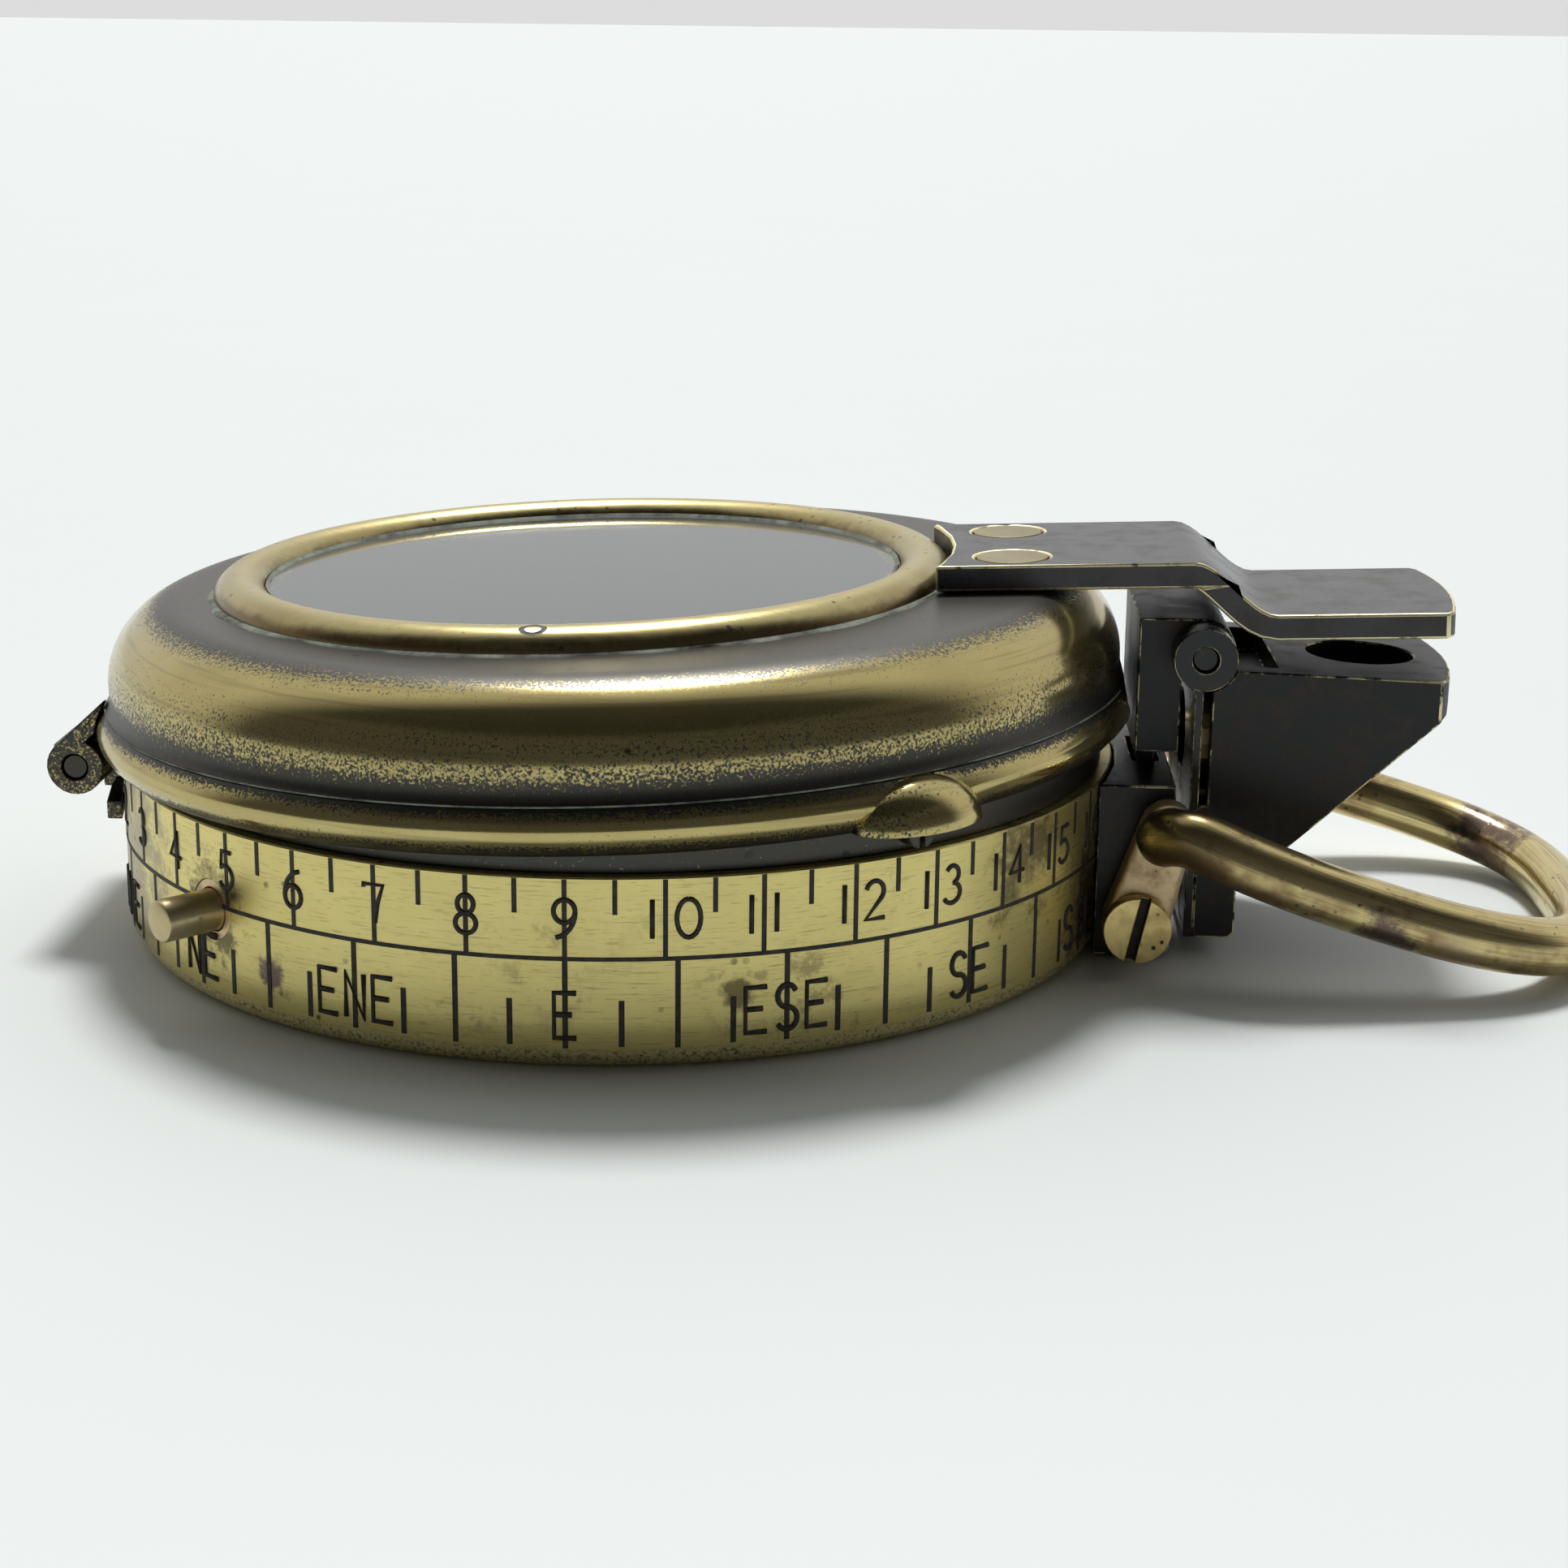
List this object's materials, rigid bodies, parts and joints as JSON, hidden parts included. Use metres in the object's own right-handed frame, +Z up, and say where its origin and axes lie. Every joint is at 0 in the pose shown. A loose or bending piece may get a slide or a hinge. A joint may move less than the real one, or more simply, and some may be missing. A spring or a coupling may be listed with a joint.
{
  "type": "sighting compass",
  "caption": "Round brass pocket sighting compass with an engraved bearing band, a hinged window lid with a sighting tongue, a folding focusing prism and a thumb ring.",
  "frame": {"origin": "centre of the case's underside, on the surface that the compass rests on", "axes": "+Z up through the case; +X from the lid hinge towards the prism and thumb ring; -Y towards the side that carries the brake pin and the clamp screw's dome"},
  "size_m": [0.0827, 0.0554, 0.0208],
  "materials": {
    "aged_brass": "brown-black bronzed brass, worn through to yellow on the raised bands",
    "scale_brass": "pale brushed brass, pitted and stained, engraving filled black",
    "bright_brass": "bare polished brass with brown spots and fine drawing lines",
    "black_brass": "chemically blackened brass, satin, brown where it is worn",
    "steel": "plain bright steel",
    "clear_glass": "clear polished glass",
    "card_paper": "cream card, printed degree ring",
    "jewel": "polished synthetic ruby"
  },
  "bodies": {
    "case": {"case_body": "scale_brass", "bezel_seat": "aged_brass", "pivot_post": "bright_brass", "pivot_needle": "steel", "brake_bush": "aged_brass", "prism_bracket": "black_brass", "bracket_screw_front": "bright_brass", "bracket_screw_rear": "bright_brass", "ring_screw_front": "bright_brass", "ring_screw_rear": "bright_brass", "lid_hinge_leaf": "aged_brass", "lid_hinge_pin": "steel", "lever_bracket": "bright_brass", "lever_pin": "steel", "lever_spring": "steel"},
    "lid": {"lid_shell": "aged_brass", "window_ring": "bright_brass", "window_glass": "clear_glass", "window_retainer": "bright_brass", "lid_tongue": "black_brass", "tongue_rivet_front": "bright_brass", "tongue_rivet_rear": "bright_brass", "lid_hinge_strap": "aged_brass"},
    "card": {"dial_card": "card_paper", "magnet_bar": "steel", "card_cap": "bright_brass", "card_jewel": "jewel"},
    "lift_collar": {"lift_collar": "bright_brass"},
    "lift_lever": {"lift_lever": "bright_brass"},
    "lock_plunger": {"lock_plunger": "steel"},
    "index_bezel": {"bezel_ring": "bright_brass", "bezel_glass": "clear_glass", "bezel_snap_ring": "bright_brass"},
    "clamp_screw": {"clamp_screw": "bright_brass"},
    "brake": {"brake_pin": "bright_brass", "brake_spring": "steel"},
    "slide": {"prism_slide": "black_brass"},
    "prism": {"prism_eye_plate": "black_brass", "prism_hinge_pin": "steel", "prism_housing": "black_brass", "prism_glass": "clear_glass", "eye_lens": "clear_glass", "lens_ring": "bright_brass", "eye_plate_screw_front": "steel", "eye_plate_screw_rear": "steel"},
    "ring": {"thumb_ring": "bright_brass"}
  },
  "joints": [
    {"name": "lid_hinge", "type": "hinge", "parent": "case", "child": "lid", "pos_m": [-0.02815, 0, 0.00887], "axis": [0, -1, 0], "range_deg": [0, 90]},
    {"name": "focus_slide", "type": "slide", "parent": "case", "child": "slide", "axis": [0, 0, 1], "range_m": [-0.0007, 0.0007]},
    {"name": "prism_fold", "type": "hinge", "parent": "slide", "child": "prism", "pos_m": [0.0307, 0, 0.0158], "axis": [0, -1, 0], "range_deg": [0, 180]},
    {"name": "ring_swing", "type": "hinge", "parent": "case", "child": "ring", "pos_m": [0.02745, 0, 0.00254], "axis": [0, -1, 0], "range_deg": [-165, 12]},
    {"name": "bezel_turn", "type": "hinge", "parent": "case", "child": "index_bezel", "pos_m": [0, 0, 0.0122], "axis": [0, 0, 1], "continuous": true},
    {"name": "clamp_turn", "type": "hinge", "parent": "case", "child": "clamp_screw", "pos_m": [0.01546, -0.0209, 0.01075], "axis": [0.5948, -0.8039, 0], "range_deg": [-180, 180]},
    {"name": "brake_press", "type": "slide", "parent": "case", "child": "brake", "axis": [0.682, 0.7314, 0], "range_m": [0, 0.001], "stiffness_N_per_m": 300, "springref_m": -0.0005},
    {"name": "lock_press", "type": "slide", "parent": "case", "child": "lock_plunger", "axis": [0, 0, 1], "range_m": [-0.0015, 0], "stiffness_N_per_m": 300, "springref_m": 0.001, "deforming": ["lever_spring"]},
    {"name": "lever_tip", "type": "hinge", "parent": "case", "child": "lift_lever", "pos_m": [0.00677, 0.00867, 0.004], "axis": [-0.788, 0.6157, 0], "range_deg": [0, 7]},
    {"name": "collar_lift", "type": "slide", "parent": "case", "child": "lift_collar", "axis": [0, 0, 1], "range_m": [0, 0.0012]},
    {"name": "card_spin", "type": "hinge", "parent": "lift_collar", "child": "card", "pos_m": [0, 0, 0.0101], "axis": [0, 0, 1], "continuous": true}
  ],
  "couplings": [
    {"joint": "prism_fold", "follows": "lid_hinge", "ratio": 2},
    {"joint": "lever_tip", "follows": "lock_press", "rad_per_m": -75.76},
    {"joint": "collar_lift", "follows": "lock_press", "ratio": -0.8}
  ]
}
